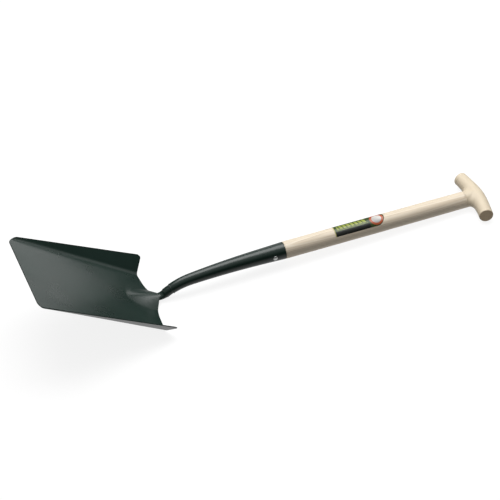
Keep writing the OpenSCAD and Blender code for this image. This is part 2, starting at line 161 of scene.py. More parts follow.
def sheet_left(x, zone, t):
    """Distance to the wall's top edge, measured along the sheet."""
    flat_wall = wall_len(x) - bend_cut(x)
    if zone == 2:
        return flat_wall * (1 - t)
    bend_left = flat_wall + bend_radius(x) * lean(x) * (1 - (t if zone == 1 else 0))
    return bend_left if zone == 1 else bend_left + (1 - t) * (half_floor(x) - bend_cut(x))


def corner(d, r):
    return 0.0 if d >= r else r - sqrt(r * r - (r - d) ** 2)


def front_x(zone, t):
    return corner(sheet_left(0, zone, t), MOUTH_CORNER_R)


def rear_x(zone, t):
    y = section_point(BLADE_LEN, zone, t)[0]
    tongue = TONGUE_OUT * bump(2 * y / TONGUE_W)
    overrun = WALL_OVERRUN * max(0.0, y - REAR_W / 2) / REAR_SPREAD
    return BLADE_LEN + tongue + overrun - corner(sheet_left(BLADE_LEN, zone, t), REAR_CORNER_R)


# ---- Centre line of shaft, socket and neck, as [x, z] in the plane y = 0 ----
def turn_down(p, a, b, r):
    return p[0] - r * (sin(b) - sin(a)), p[1] - r * (cos(a) - cos(b))


def turn_up(p, a, b, r):
    return p[0] - r * (sin(a) - sin(b)), p[1] - r * (cos(b) - cos(a))


def along(p, a, d):
    return p[0] + d * cos(a), p[1] + d * sin(a)


def minus(p, q):
    return p[0] - q[0], p[1] - q[1]


SLOW_BEND_R = SLOW_BEND_LEN / (MID_ANGLE - SHAFT_ANGLE)
SHARP_BEND_LEN = SHARP_BEND_R * (NECK_ANGLE - MID_ANGLE)
NECK_BEND_LEN = NECK_BEND_R * (NECK_ANGLE - TANG_ANGLE)
TANG_ROOT = (BLADE_LEN - TANG_SETBACK, TANG_Z)
NECK_TOP = minus(TANG_ROOT, turn_up((0, 0), NECK_ANGLE, TANG_ANGLE, NECK_BEND_R))
SHARP_TOP = minus(NECK_TOP, turn_down((0, 0), MID_ANGLE, NECK_ANGLE, SHARP_BEND_R))
SLOW_TOP = minus(SHARP_TOP, turn_down((0, 0), SHAFT_ANGLE, MID_ANGLE, SLOW_BEND_R))
SOCKET_MOUTH = along(SLOW_TOP, SHAFT_ANGLE, SOCKET_STRAIGHT)
AT_SLOW = SOCKET_STRAIGHT
AT_SHARP = AT_SLOW + SLOW_BEND_LEN
AT_NECK = AT_SHARP + SHARP_BEND_LEN
AT_TANG = AT_NECK + NECK_BEND_LEN
AT_TIP = AT_TANG + TANG_LEN
AT_TUBE_END = AT_NECK - NECK_BARE


def angle_at(s):
    if s <= AT_SLOW:
        return SHAFT_ANGLE
    if s <= AT_SHARP:
        return mix(SHAFT_ANGLE, MID_ANGLE, (s - AT_SLOW) / SLOW_BEND_LEN)
    if s <= AT_NECK:
        return mix(MID_ANGLE, NECK_ANGLE, (s - AT_SHARP) / SHARP_BEND_LEN)
    if s <= AT_TANG:
        return mix(NECK_ANGLE, TANG_ANGLE, (s - AT_NECK) / NECK_BEND_LEN)
    return TANG_ANGLE


def place_at(s):
    if s <= AT_SLOW:
        return along(SOCKET_MOUTH, SHAFT_ANGLE, -s)
    if s <= AT_SHARP:
        return turn_down(SLOW_TOP, SHAFT_ANGLE, angle_at(s), SLOW_BEND_R)
    if s <= AT_NECK:
        return turn_down(SHARP_TOP, MID_ANGLE, angle_at(s), SHARP_BEND_R)
    if s <= AT_TANG:
        return turn_up(NECK_TOP, NECK_ANGLE, angle_at(s), NECK_BEND_R)
    return along(TANG_ROOT, TANG_ANGLE, AT_TANG - s)


TUBE_STOPS = ((0, SOCKET_MOUTH_D / 2), (AT_SLOW, SOCKET_MID_D / 2),
              (AT_SHARP, SOCKET_LOW_D / 2), (AT_TUBE_END, SOCKET_END_D / 2))


def tube_r(s):
    for (s0, r0), (s1, r1) in zip(TUBE_STOPS, TUBE_STOPS[1:]):
        if s <= s1:
            return mix(r0, r1, (s - s0) / (s1 - s0))
    return TUBE_STOPS[-1][1]


def neck_half_w(s):
    if s <= AT_TANG:
        return NECK_D / 2 - (NECK_SHRINK if s < AT_TUBE_END else 0)
    return mix(NECK_D, TANG_TIP_W, (s - AT_TANG) / TANG_LEN) / 2


def neck_half_h(s):
    if s <= AT_NECK:
        return neck_half_w(s)
    if s <= AT_TANG:
        return mix(NECK_D, TANG_H, sqrt((s - AT_NECK) / NECK_BEND_LEN)) / 2
    return mix(TANG_H, TANG_TIP_H, (s - AT_TANG) / TANG_LEN) / 2


# ---- Lying pose: the tool rests on its heel and its grip ----
GRIP_R = (GRIP_END_D + GRIP_SWELL) / 2
GRIP_MID = along(SOCKET_MOUTH, SHAFT_ANGLE, SHAFT_LEN + GRIP_SEAT)


HEEL_COLS, HEEL_BEND_COLS = 16, 4


def heel_points():
    """Underside of the rear edge, at the stations that the lying pose is worked out from."""
    stations = ([(0, k / HEEL_COLS) for k in range(HEEL_COLS + 1)]
                + [(1, (k + 1) / HEEL_BEND_COLS) for k in range(HEEL_BEND_COLS)])
    points = []
    for zone, t in stations:
        x = rear_x(zone, t)
        y, z, slope = section_point(x, zone, t)
        points.append((x, z + frog_z(x, y) - SHEET_T * cos(slope)))
    return points


def level_angle(p):
    d = minus(GRIP_MID, p)
    return atan2(d[1], d[0]) - asin(GRIP_R / hypot(*d))


TILT = max(level_angle(p) for p in heel_points())
FLOOR_Z = min(p[1] * cos(TILT) - p[0] * sin(TILT) for p in heel_points())
FRONT_END = -SHEET_T * sin(TILT)
BACK_END = GRIP_MID[0] * cos(TILT) + GRIP_MID[1] * sin(TILT) + GRIP_R
LYING = (Matrix.Translation((-(FRONT_END + BACK_END) / 2, 0, -FLOOR_Z))
         @ Matrix.Rotation(TILT, 4, "Y"))


def lying(point):
    return LYING @ Vector(point) * MM


def on_line(s):
    """Matrix of a piece drawn in metres along +Z on the centre line at s, with +X on the underside."""
    x, z = place_at(s)
    m = LYING @ Matrix.Translation((x, 0, z)) @ Matrix.Rotation(pi / 2 - angle_at(s), 4, "Y")
    m.translation *= MM
    return m


# ---- Mesh helpers ----
def add_mesh(name, points, faces, material, matrix=None):
    mesh = bpy.data.meshes.new(name)
    mesh.from_pydata([tuple(p) for p in points], [], faces)
    mesh.shade_smooth()
    mesh.materials.append(material)
    obj = bpy.data.objects.new(name, mesh)
    if matrix is not None:
        obj.matrix_world = matrix
    bpy.context.scene.collection.objects.link(obj)
    return obj


def skin(rings, closed=False):
    """Quads between equal rings, capped with a face at each end unless the rings close on themselves."""
    n = len(rings[0])
    count = len(rings)
    faces = []
    for i in range(count if closed else count - 1):
        a, b = i * n, (i + 1) % count * n
        faces += [(a + k, a + (k + 1) % n, b + (k + 1) % n, b + k) for k in range(n)]
    if not closed:
        faces.append(tuple(reversed(range(n))))
        faces.append(tuple(range((count - 1) * n, count * n)))
    return [p for ring in rings for p in ring], faces


def line_ring(s, half_w, half_h, n):
    """Ring across the centre line at s, in the row frame."""
    x, z = place_at(s)
    a = angle_at(s)
    ring = []
    for k in range(n):
        u, v = half_w * cos(2 * pi * k / n), half_h * sin(2 * pi * k / n)
        ring.append(lying((x - v * sin(a), u, z + v * cos(a))))
    return ring


def lathe(profile, n):
    """Rings round +Z from a profile of (radius, z) in millimetres."""
    return [[Vector((r * cos(2 * pi * k / n), r * sin(2 * pi * k / n), z)) * MM for k in range(n)]
            for r, z in profile]


def outward(obj):
    """Turns every face outwards."""
    bm = bmesh.new()
    bm.from_mesh(obj.data)
    bmesh.ops.recalc_face_normals(bm, faces=bm.faces)
    bm.to_mesh(obj.data)
    bm.free()
    return obj


def round_edges(obj, width_mm, segments=3, angle=50):
    bevel = obj.modifiers.new("rounded_edges", "BEVEL")
    bevel.width = width_mm * MM
    bevel.segments = segments
    bevel.limit_method = "ANGLE"
    bevel.angle_limit = radians(angle)
    weighted = obj.modifiers.new("even_normals", "WEIGHTED_NORMAL")
    weighted.keep_sharp = False
    return obj


def settle(obj, node):
    outward(obj)
    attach(obj, "root")
    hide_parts(node)
    return obj


# ---- Materials ----
class Nodes:
    """A small helper to wire one node-based material."""

    def __init__(self, name):
        self.material = bpy.data.materials.new(name)
        self.material.use_nodes = True
        self.tree = self.material.node_tree
        self.shader = self.tree.nodes["Principled BSDF"]

    def add(self, kind, **settings):
        node = self.tree.nodes.new(kind)
        for key, value in settings.items():
            if key in node.inputs:
                node.inputs[key].default_value = value
            else:
                setattr(node, key, value)
        return node

    def wire(self, out_socket, in_socket):
        self.tree.links.new(out_socket, in_socket)

    def coords(self, scale=(1, 1, 1)):
        where = self.add("ShaderNodeTexCoord")
        mapping = self.add("ShaderNodeMapping")
        mapping.inputs["Scale"].default_value = scale
        self.wire(where.outputs["Object"], mapping.inputs["Vector"])
        return mapping.outputs["Vector"]

    def noise(self, scale, detail=4.0, stretch=(1, 1, 1), distortion=0.0):
        node = self.add("ShaderNodeTexNoise")
        node.inputs["Scale"].default_value = scale
        node.inputs["Detail"].default_value = detail
        node.inputs["Distortion"].default_value = distortion
        self.wire(self.coords(stretch), node.inputs["Vector"])
        return node.outputs["Fac"]

    def ramp(self, value, stops):
        node = self.add("ShaderNodeValToRGB")
        band = node.color_ramp
        while len(band.elements) < len(stops):
            band.elements.new(0.5)
        for element, (place, colour) in zip(band.elements, stops):
            element.position = place
            element.color = (*colour, 1)
        self.wire(value, node.inputs["Fac"])
        return node.outputs["Color"]

    def span(self, value, low, high):
        """Maps 0..1 to low..high."""
        node = self.add("ShaderNodeMapRange")
        node.inputs["To Min"].default_value = low
        node.inputs["To Max"].default_value = high
        self.wire(value, node.inputs["Value"])
        return node.outputs["Result"]

    def step(self, value, low, high):
        """Maps low..high to 0..1, clamped."""
        node = self.add("ShaderNodeMapRange", interpolation_type="SMOOTHSTEP")
        node.inputs["From Min"].default_value = low
        node.inputs["From Max"].default_value = high
        self.wire(value, node.inputs["Value"])
        return node.outputs["Result"]

    def blend(self, factor, a, b, mode="MIX"):
        node = self.add("ShaderNodeMix", data_type="RGBA", blend_type=mode)
        for socket, value in ((node.inputs[0], factor), (node.inputs[6], a), (node.inputs[7], b)):
            if isinstance(value, (int, float)):
                socket.default_value = value
            elif isinstance(value, tuple):
                socket.default_value = (*value, 1)
            else:
                self.wire(value, socket)
        return node.outputs[2]

    def math(self, operation, a, b=0.0):
        node = self.add("ShaderNodeMath", operation=operation)
        for socket, value in zip(node.inputs, (a, b)):
            if isinstance(value, (int, float)):
                socket.default_value = value
            else:
                self.wire(value, socket)
        return node.outputs[0]

    def bumps(self, height, strength, distance_mm, under=None):
        node = self.add("ShaderNodeBump")
        node.inputs["Strength"].default_value = strength
        node.inputs["Distance"].default_value = distance_mm * MM
        self.wire(height, node.inputs["Height"])
        if under is not None:
            self.wire(under, node.inputs["Normal"])
        return node.outputs["Normal"]

    def finish(self, colour, roughness, normal):
        self.wire(colour, self.shader.inputs["Base Color"])
        self.wire(roughness, self.shader.inputs["Roughness"])
        self.wire(normal, self.shader.inputs["Normal"])
        return self.material


def powder_coat():
    """Dark green powder coat: a fine orange peel, slight clouding and a few dust nibs."""
    m = Nodes("green_powder_coat")
    cloud = m.noise(14, 3)
    peel = m.noise(420, 3)
    fleck = m.noise(1900, 2)
    colour = m.ramp(cloud, [(0.30, (0.0065, 0.0185, 0.0140)), (0.70, (0.0090, 0.0240, 0.0185))])
    colour = m.blend(m.step(fleck, 0.62, 0.80), colour, (0.016, 0.036, 0.029))
    roughness = m.span(cloud, 0.25, 0.31)
    wide = m.bumps(peel, 0.05, 0.12)
    normal = m.bumps(fleck, 0.04, 0.06, wide)
    m.shader.inputs["IOR"].default_value = 1.5
    return m.finish(colour, roughness, normal)


def rivet_steel():
    """Bright rivet head with fine hammer marks."""
    m = Nodes("rivet_steel")
    marks = m.noise(700, 3)
    fine = m.noise(4000, 2)
    colour = m.ramp(marks, [(0.3, (0.50, 0.52, 0.51)), (0.7, (0.68, 0.70, 0.69))])
    roughness = m.span(fine, 0.26, 0.42)
    normal = m.bumps(marks, 0.25, 0.20)
    m.shader.inputs["Metallic"].default_value = 0.9
    return m.finish(colour, roughness, normal)


def ash(name, along_axis, pith, light, dark, end_turn=None, arch_r=0.0):
    """Ash with growth rings round a pith beside the piece, open pores in rows and fine fibre.

    along_axis is the grain's axis (1 for Y, 2 for Z); pith is where the tree's middle lies, in
    millimetres across the grain. end_turn is the angle of the arched bar at its sawn ends, whose end
    grain lies in planes through the arch's centre, arch_r below the bar.
    """
    m = Nodes(name)
    fine_stretch = [1.0, 1.0, 1.0]
    fine_stretch[along_axis] = 0.02
    slow_stretch = [1.0, 1.0, 1.0]
    slow_stretch[along_axis] = 0.12
    split = m.add("ShaderNodeSeparateXYZ")
    m.wire(m.coords(), split.inputs[0])
    across = [k for k in range(3) if k != along_axis]
    waver = m.math("MULTIPLY", m.noise(9, 2, tuple(slow_stretch)), 0.030)
    squares = [m.math("POWER", m.math("ADD", split.outputs[k], offset * MM), 2.0)
               for k, offset in zip(across, pith)]
    ring_r = m.math("ADD", m.math("SQRT", m.math("ADD", *squares)), waver)
    ring = m.math("FRACT", m.math("MULTIPLY", ring_r, 330.0))
    late = m.math("SUBTRACT", m.step(ring, 0.0, 0.75), m.step(ring, 0.86, 1.0))
    pores = m.noise(900, 3, tuple(fine_stretch))
    fibre = m.noise(2600, 2, tuple(fine_stretch))
    patch = m.noise(16, 2, tuple(slow_stretch))
    shade = m.math("MULTIPLY", late, m.span(patch, 0.25, 0.60))
    colour = m.blend(shade, light, dark)
    pore_mask = m.math("MULTIPLY", m.step(pores, 0.58, 0.70), m.step(late, 0.35, 0.9))
    colour = m.blend(m.math("MULTIPLY", pore_mask, 0.55), colour, tuple(0.62 * c for c in dark))
    colour = m.blend(m.math("MULTIPLY", fibre, 0.16), colour, tuple(0.75 * c for c in dark))
    if end_turn is not None:
        sideways = m.math("MULTIPLY", m.math("ABSOLUTE", split.outputs[along_axis]), cos(end_turn))
        height = m.math("MULTIPLY", m.math("ADD", split.outputs[2], arch_r * MM), sin(end_turn))
        end_grain = m.step(m.math("SUBTRACT", sideways, height), -0.9 * MM, -0.3 * MM)
        specks = m.noise(1100, 3)
        mask = m.math("MULTIPLY", m.step(specks, 0.45, 0.62), m.span(late, 0.45, 0.9))
        end_colour = m.blend(mask, tuple(1.25 * c for c in dark), tuple(0.45 * c for c in dark))
        colour = m.blend(end_grain, colour, end_colour)
    roughness = m.span(fibre, 0.40, 0.58)
    normal = m.bumps(pores, 0.12, 0.25)
    m.shader.inputs["IOR"].default_value = 1.45
    return m.finish(colour, roughness, normal)


def label_print():
    """Printed film: a dark field with plain yellow-green blocks, a black band and a ringed disc."""
    m = Nodes("label_print")
    uv = m.add("ShaderNodeTexCoord")
    split = m.add("ShaderNodeSeparateXYZ")
    m.wire(uv.outputs["UV"], split.inputs[0])
    u, v = split.outputs[0], split.outputs[1]
    field, block, band = (0.030, 0.055, 0.010), (0.28, 0.33, 0.060), (0.004, 0.006, 0.004)
    border, ring, disc = (0.50, 0.47, 0.16), (0.42, 0.085, 0.030), (0.62, 0.60, 0.56)

    def inside(value, low, high, soft=0.006):
        return m.math("SUBTRACT", m.step(value, low - soft, low + soft),
                      m.step(value, high - soft, high + soft))

    slant = m.math("ADD", u, m.math("MULTIPLY", v, 0.10))
    beat = m.math("FRACT", m.math("MULTIPLY", slant, 13.0))
    blocks = m.math("MULTIPLY", inside(beat, 0.12, 0.84, 0.06),
                    m.math("MULTIPLY", inside(u, 0.06, 0.64), inside(v, 0.38, 0.68, 0.02)))
    rule = m.math("MULTIPLY", inside(u, 0.05, 0.66), inside(v, 0.31, 0.33, 0.01))
    colour = m.blend(m.math("MAXIMUM", blocks, rule), field, block)
    colour = m.blend(m.math("MULTIPLY", inside(v, -0.5, 0.27, 0.01), inside(u, -0.5, 0.70)), colour, band)
    colour = m.blend(inside(u, -0.5, 0.012), colour, border)
    du = m.math("MULTIPLY", m.math("SUBTRACT", u, DISC_U), LABEL_LEN)
    dv = m.math("MULTIPLY", m.math("SUBTRACT", v, DISC_V), SHAFT_D / 2 * LABEL_ARC)
    from_centre = m.math("SQRT", m.math("ADD", m.math("POWER", du, 2.0), m.math("POWER", dv, 2.0)))
    lower = m.step(m.math("ADD", dv, m.math("MULTIPLY", du, 0.5)), 6.0, -6.0)
    disc_tone = m.blend(m.math("MULTIPLY", lower, 0.55), disc, (0.16, 0.15, 0.16))
    colour = m.blend(m.math("SUBTRACT", 1.0, m.step(from_centre, 15.5, 16.3)), colour, ring)
    colour = m.blend(m.math("SUBTRACT", 1.0, m.step(from_centre, 10.6, 11.6)), colour, disc_tone)
    grain = m.noise(300, 3)
    roughness = m.span(grain, 0.28, 0.38)
    normal = m.bumps(grain, 0.05, 0.10)
    return m.finish(colour, roughness, normal)


def pale_floor():
    m = Nodes("pale_floor")
    speck = m.noise(3, 2)
    colour = m.ramp(speck, [(0.3, (0.135, 0.135, 0.135)), (0.7, (0.145, 0.145, 0.145))])
    m.shader.inputs["Emission Color"].default_value = (1, 1, 1, 1)
    m.shader.inputs["Emission Strength"].default_value = 0.86
    return m.finish(colour, m.span(speck, 0.70, 0.75), m.bumps(speck, 0.02, 0.2))


# ---- Pieces ----
FLOOR_COLS, BEND_COLS, WALL_COLS, BLADE_ROWS = 44, 10, 10, 150
# Below 1, this power crowds the rows towards the rear, where the frog is
ROW_CROWDING = 0.8
COLUMNS = ([(0, k / FLOOR_COLS) for k in range(FLOOR_COLS)]
           + [(1, k / BEND_COLS) for k in range(BEND_COLS)]
           + [(2, k / WALL_COLS) for k in range(WALL_COLS + 1)])


def blade(material):
    """Pressed sheet: floor, bends, walls, frog and tongue, very slightly wavy from the press."""
    wave_h, wave_x, wave_y, edge_r = 0.30, 70, 55, 0.7
    across = [(-1, *c) for c in reversed(COLUMNS[1:])] + [(1, *c) for c in COLUMNS]
    n = len(across)
    points = []
    for depth in (0, SHEET_T):
        for i in range(BLADE_ROWS + 1):
            for side, zone, t in across:
                x = mix(front_x(zone, t), rear_x(zone, t), (i / BLADE_ROWS) ** ROW_CROWDING)
                y, z, slope = section_point(x, zone, t)
                z += frog_z(x, y) - depth * cos(slope)
                wave = wave_h * noise.noise(Vector((x / wave_x, side * y / wave_y, 0.0)))
                points.append(lying((x, side * (y + depth * sin(slope)), z + wave)))
    low = n * (BLADE_ROWS + 1)
    faces = []
    for i in range(BLADE_ROWS):
        for k in range(n - 1):
            a = i * n + k
            faces.append((a, a + 1, a + n + 1, a + n))
            faces.append((low + a, low + a + n, low + a + n + 1, low + a + 1))
    rim = ([(0, k) for k in range(n - 1)] + [(i, n - 1) for i in range(BLADE_ROWS)]
           + [(BLADE_ROWS, k) for k in range(n - 1, 0, -1)] + [(i, 0) for i in range(BLADE_ROWS, 0, -1)])
    spots = [i * n + k for i, k in rim]
    for a, b in zip(spots, spots[1:] + spots[:1]):
        faces.append((a, low + a, low + b, b))
    obj = add_mesh("blade_sheet", points, faces, material)
    return settle(round_edges(obj, edge_r), "blade")


def neck(material):
    """Solid neck: let into the tube, bent, and flattened to a tang under the frog."""
    sides, shoulder, edge_r = 48, 0.01, 0.6
    straight_steps, bend_steps, tang_steps = 8, 24, 14
    stops = [AT_TUBE_END - NECK_OVERLAP, AT_TUBE_END - shoulder]
    stops += [mix(AT_TUBE_END, AT_NECK, i / straight_steps) for i in range(straight_steps + 1)]
    stops += [mix(AT_NECK, AT_TANG, (i + 1) / bend_steps) for i in range(bend_steps)]
    stops += [mix(AT_TANG, AT_TIP, (i + 1) / tang_steps) for i in range(tang_steps)]
    rings = [line_ring(s, neck_half_w(s), neck_half_h(s), sides) for s in stops]
    obj = add_mesh("forged_neck", *skin(rings), material)
    return settle(round_edges(obj, edge_r), "neck")


def socket(material):
    """Tapered, bent tube with a rounded rim at each end."""
    n, rim_steps = 72, 8
    lip, pitch = 0.7, 3.0
    rings = []

    def shell(s, r):
        rings.append(line_ring(s, r, r, n))

    def rim(start, toward, r):
        """Half-round rim between the outside and the inside; toward is 1 at the lower end."""
        for k in range(1, rim_steps):
            a = pi * k / rim_steps
            shell(start + toward * lip * sin(a), r - SOCKET_WALL / 2 + toward * SOCKET_WALL / 2 * cos(a))

    down = [lip + i * pitch for i in range(int((AT_TUBE_END - 2 * lip) / pitch) + 1)]
    down = [s for s in down if s < AT_TUBE_END - lip] + [AT_TUBE_END - lip]
    for s in down:
        shell(s, tube_r(s))
    rim(AT_TUBE_END - lip, 1, tube_r(AT_TUBE_END))
    for s in reversed(down):
        shell(s, tube_r(s) - SOCKET_WALL)
    rim(lip, -1, tube_r(0))
    obj = add_mesh("tube_socket", *skin(rings, closed=True), material)
    return settle(obj, "socket")


def bead(points, radius, ripple, pitch, n=14):
    """Weld bead along points in the blade's frame, with overlapping scallops and round ends."""
    tip, round_steps, least = 0.35, 4, 0.05
    rings = []
    travelled = 0.0
    for i, p in enumerate(points):
        before, after = points[max(0, i - 1)], points[min(len(points) - 1, i + 1)]
        direction = (after - before).normalized()
        side = direction.cross(Vector((0, 0, 1))).normalized()
        up = side.cross(direction)
        if i:
            travelled += (p - points[i - 1]).length
        end = min(1.0, (i + tip) / round_steps, (len(points) - 1 - i + tip) / round_steps)
        rounding = sqrt(max(least, 1 - (1 - end) ** 2))
        r = radius * rounding * (1 + ripple * abs(sin(pi * travelled / pitch)))
        rings.append([lying(p + side * r * cos(2 * pi * k / n) + up * r * sin(2 * pi * k / n))
                      for k in range(n)])
    return rings


def merge(name, parts, material):
    points, faces = [], []
    for part_points, part_faces in parts:
        start = len(points)
        points += part_points
        faces += [tuple(start + k for k in f) for f in part_faces]
    return add_mesh(name, points, faces, material)


def blade_weld(material):
    """One bead down each side of the tang, just under the sheet."""
    weld_r, drop, gap = 2.9, 1.2, 0.1
    start, stop, steps = 0.12, 0.92, 60
    ripple, pitch = 0.10, 1.8
    parts = []
    for side in (-1, 1):
        line = []
        for i in range(steps + 1):
            s = mix(mix(AT_TIP, AT_TANG, start), mix(AT_TIP, AT_TANG, stop), i / steps)
            x = place_at(s)[0]
            y = neck_half_w(s) + weld_r + gap
            line.append(Vector((x, side * y, frog_z(x, y) - SHEET_T - drop)))
        parts.append(skin(bead(line, weld_r, ripple, pitch)))
    return settle(merge("tang_welds", parts, material), "blade_weld")


def socket_weld(material):
    """Ring fillet with ripples where the tube ends on the neck."""
    n_round, n_section = 160, 12
    leg, ripples, ripple = 2.6, 19, 0.12
    inset, half_depth, below = 0.2, 1.1, 0.9
    x0, z0 = place_at(AT_TUBE_END)
    a0 = angle_at(AT_TUBE_END)
    rings = []
    for i in range(n_round):
        turn = 2 * pi * i / n_round
        swell = 1 + ripple * abs(sin(turn * ripples))
        ring = []
        for k in range(n_section):
            b = 2 * pi * k / n_section
            r = NECK_D / 2 + inset + half_depth * swell * cos(b)
            d = below + leg / 2 * swell * sin(b)
            u, v = r * cos(turn), r * sin(turn)
            x, z = x0 - d * cos(a0), z0 - d * sin(a0)
            ring.append(lying((x - v * sin(a0), u, z + v * cos(a0))))
        rings.append(ring)
    obj = add_mesh("socket_weld_ring", *skin(rings, closed=True), material)
    return settle(obj, "socket_weld")


def rivet(material):
    """Two domed heads on one shank, each with a slightly flattened crown and a short skirt."""
    n, steps = 48, 12
    shank_r, skirt, chamfer, crown_r, flatness = 2.85, 0.25, 0.3, 0.15, 0.92
    head_r = RIVET_HEAD_D / 2
    seat = tube_r(RIVET_BACK) - RIVET_SUNK
    head = [(head_r * sin(a) ** flatness, seat + skirt + (RIVET_HEAD_H - skirt) * cos(a))
            for a in (pi / 2 * k / steps for k in range(steps - 1, 0, -1))]
    profile = ([(shank_r, 0.0), (shank_r, seat), (head_r - chamfer, seat), (head_r, seat + skirt)]
               + head + [(crown_r, seat + RIVET_HEAD_H)])
    profile = [(r, -z) for r, z in reversed(profile[1:])] + profile
    matrix = on_line(RIVET_BACK) @ Matrix.Rotation(pi / 2, 4, "X")
    obj = add_mesh("socket_rivet_heads", *skin(lathe(profile, n)), material, matrix)
    return settle(obj, "socket_rivet")


def shaft_r(z):
    """Radius of the shaft above the socket, at z from the socket's mouth."""
    if z <= CLIP_START - CLIP_EASE:
        return SHAFT_D / 2
    if z <= CLIP_START:
        return mix(SHAFT_D, CLIP_D, (z - CLIP_START + CLIP_EASE) / CLIP_EASE) / 2
    if z <= CLIP_START + CLIP_LEN:
        return CLIP_D / 2
    clip_end = CLIP_START + CLIP_LEN
    return mix(CLIP_D, SHAFT_TOP_D, (z - clip_end) / (SHAFT_LEN - clip_end)) / 2


def shaft(material):
    """Turned shaft: tail in the socket, body, tenon; the body is very slightly out of round."""
    n, steps = 96, 110
    axis_r, chamfer, shoulder = 0.5, 2.0, 0.3
    body_start, tenon_chamfer = 5.0, 1.5
    out_of_round, round_scale, length_scale = 0.10, 1.2, 45
    top = SHAFT_LEN + TENON_LEN
    tail_top_r = tube_r(0) - SOCKET_WALL - TAIL_GAP
    tail_mid_r = tube_r(AT_SLOW) - SOCKET_WALL - TAIL_EASE
    profile = [(axis_r, -TAIL_LEN), (TAIL_END_D / 2 - chamfer, -TAIL_LEN),
               (TAIL_END_D / 2, -TAIL_LEN + chamfer), (tail_mid_r, -AT_SLOW), (tail_top_r, -0.4),
               (tail_top_r, shoulder), (SHAFT_D / 2 - 1.0, shoulder), (SHAFT_D / 2 - 0.35, 0.65),
               (SHAFT_D / 2, 1.6)]
    profile += [(shaft_r(z), z) for z in (mix(body_start, SHAFT_LEN, i / steps) for i in range(steps + 1))]
    profile += [(TENON_D / 2, SHAFT_LEN), (TENON_D / 2, top - tenon_chamfer),
                (TENON_D / 2 - tenon_chamfer, top), (axis_r, top)]
    rings = lathe(profile, n)
    for ring, (r, z) in zip(rings, profile):
        if body_start - 1 < z < SHAFT_LEN - 1:
            for p in ring:
                out = Vector((p.x, p.y, 0)).normalized()
                spot = Vector((out.x * round_scale, out.y * round_scale, z / length_scale))
                p += out * out_of_round * MM * noise.noise(spot)
    obj = add_mesh("ash_shaft", *skin(rings), material, on_line(0))
    return settle(obj, "shaft")


def grip_half_d(t):
    return (GRIP_END_D + GRIP_SWELL * bump(t * SWELL_REACH) ** SWELL_POWER) / 2


GRIP_ARCH_R = (GRIP_LEN ** 2 / 4 + GRIP_SAG ** 2) / (2 * GRIP_SAG)
GRIP_ARCH_ANGLE = asin(GRIP_LEN / 2 / GRIP_ARCH_R)


def grip_ring(t, shrink, n):
    a = GRIP_ARCH_ANGLE * t
    r = grip_half_d(t) - shrink
    ring = []
    for k in range(n):
        out = GRIP_ARCH_R + r * cos(2 * pi * k / n)
        ring.append(Vector((r * sin(2 * pi * k / n), out * sin(a), out * cos(a) - GRIP_ARCH_R)) * MM)
    return ring


def soft_join(a, b, reach):
    """Signed distance to the union of two solids, with a fillet that reaches this far."""
    if reach < 0.01:
        return min(a, b)
    overlap = max(reach - abs(a - b), 0.0) / reach
    return min(a, b) - overlap * overlap * reach / 4


def grip_distance(p):
    """Signed distance in millimetres from p to the arched bar run together with its collar."""
    x, y, z = p
    around = hypot(y, z + GRIP_ARCH_R)
    turn = atan2(y, z + GRIP_ARCH_R)
    side = hypot(x, around - GRIP_ARCH_R) - grip_half_d(turn / GRIP_ARCH_ANGLE) + GRIP_EDGE
    end = (abs(turn) - GRIP_ARCH_ANGLE) * GRIP_ARCH_R + GRIP_EDGE
    bar = min(max(side, end), 0.0) + hypot(max(side, 0.0), max(end, 0.0)) - GRIP_EDGE
    from_axis = hypot(x, y)
    collar = max(from_axis - SHAFT_TOP_D / 2, -GRIP_SEAT - z, z)
    # The fillet fades out on the two sides where the bar is no wider than the collar
    return soft_join(bar, collar, FILLET_REACH * (y / max(from_axis, 1.0)) ** 2)


def pull_to_grip(p):
    """Moves p along the distance's slope until it lies on the grip's surface."""
    h, rounds, least_slope = 0.05, 4, 0.2
    for _ in range(rounds):
        d = grip_distance(p)
        slope = Vector([(grip_distance(p + h * axis) - grip_distance(p - h * axis)) / (2 * h)
                        for axis in (Vector((1, 0, 0)), Vector((0, 1, 0)), Vector((0, 0, 1)))])
        p = p - slope * (d / max(slope.length_squared, least_slope))
    return p


def crutch(material):
    """T grip: bar and collar are merged into one even skin, which is then pulled on to the
    filleted shape. It is solid: the tenon and the dowel lie inside it, without bores of their own."""
    n, steps = 72, 60
    voxel = 0.9
    bar = skin([grip_ring(mix(-1, 1, i / steps), 0.0, n) for i in range(steps + 1)])
    collar = skin(lathe([(SHAFT_TOP_D / 2, -GRIP_SEAT), (SHAFT_TOP_D / 2, 0.0)], n))
    rough = merge("ash_t_grip", [bar, collar], material)
    outward(rough)
    remesh = rough.modifiers.new("even_skin", "REMESH")
    remesh.mode = "VOXEL"
    remesh.voxel_size = voxel * MM
    remesh.use_smooth_shade = True
    even = bpy.data.meshes.new_from_object(rough.evaluated_get(bpy.context.evaluated_depsgraph_get()))
    rough.modifiers.clear()
    rough.data = even
    for v in even.vertices:
        v.co = pull_to_grip(v.co / MM) * MM
    rough.matrix_world = on_line(-SHAFT_LEN - GRIP_SEAT)
    return settle(rough, "crutch")


